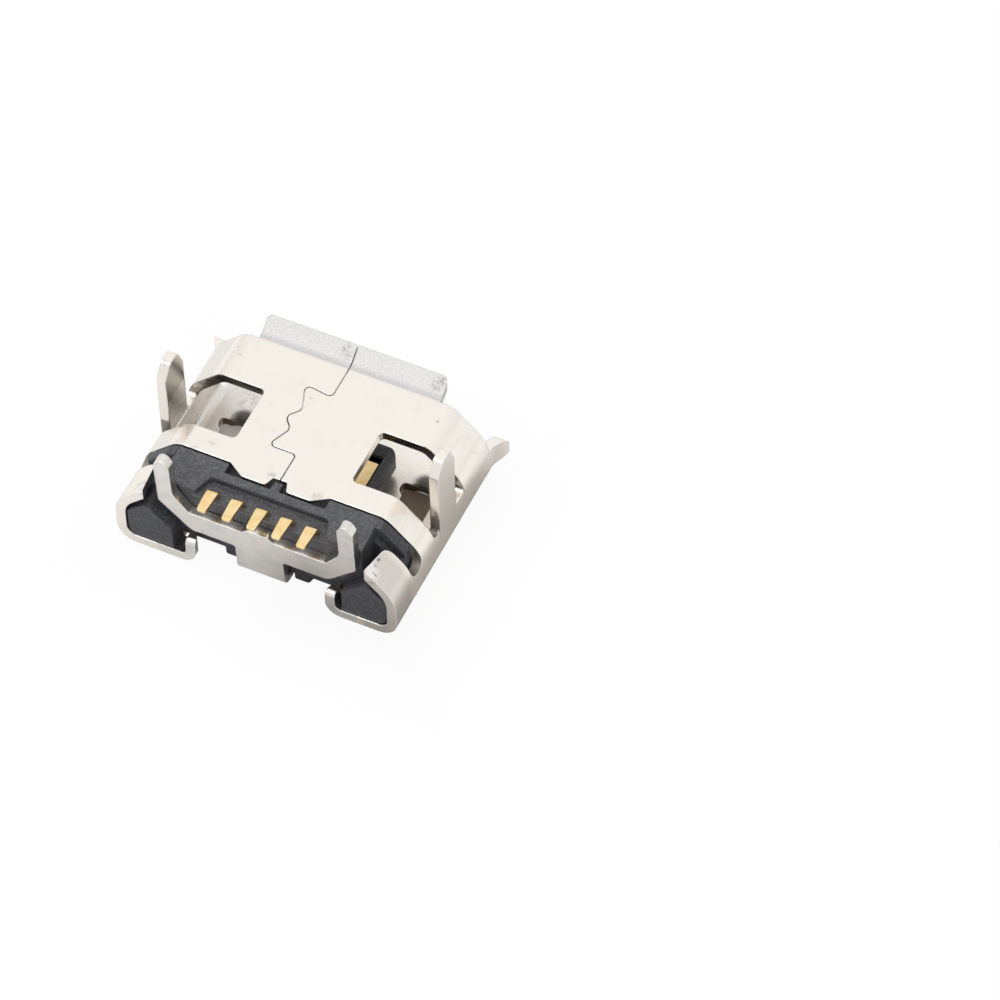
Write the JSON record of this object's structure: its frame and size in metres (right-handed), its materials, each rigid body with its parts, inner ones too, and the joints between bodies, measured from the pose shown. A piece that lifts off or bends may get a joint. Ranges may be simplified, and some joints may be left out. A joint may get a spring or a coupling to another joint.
{
  "type": "micro usb socket",
  "caption": "Small board-mount charging and data socket: folded metal shell with solder legs and horns, black insulator and gold contacts.",
  "frame": {"origin": "on the outer face of the wide wall, on the socket's middle line, under the rear edge of the wall that seats on the board", "axes": "+X across the socket, +Y to its rear (the mouth faces -Y), +Z to its board side, which the legs point along"},
  "size_m": [0.008, 0.0058, 0.0036],
  "materials": {
    "plated_steel": "bright nickel plating on folded sheet, satin, with a sparkling matte flange at the mouth",
    "black_moulding": "matte glass-filled moulding with fine speckle",
    "gold_plating": "satin gold plating"
  },
  "bodies": {
    "root": {"shell": "plated_steel", "insulator": "black_moulding", "contact_1": "gold_plating", "contact_2": "gold_plating", "contact_3": "gold_plating", "contact_4": "gold_plating", "contact_5": "gold_plating"}
  },
  "joints": []
}
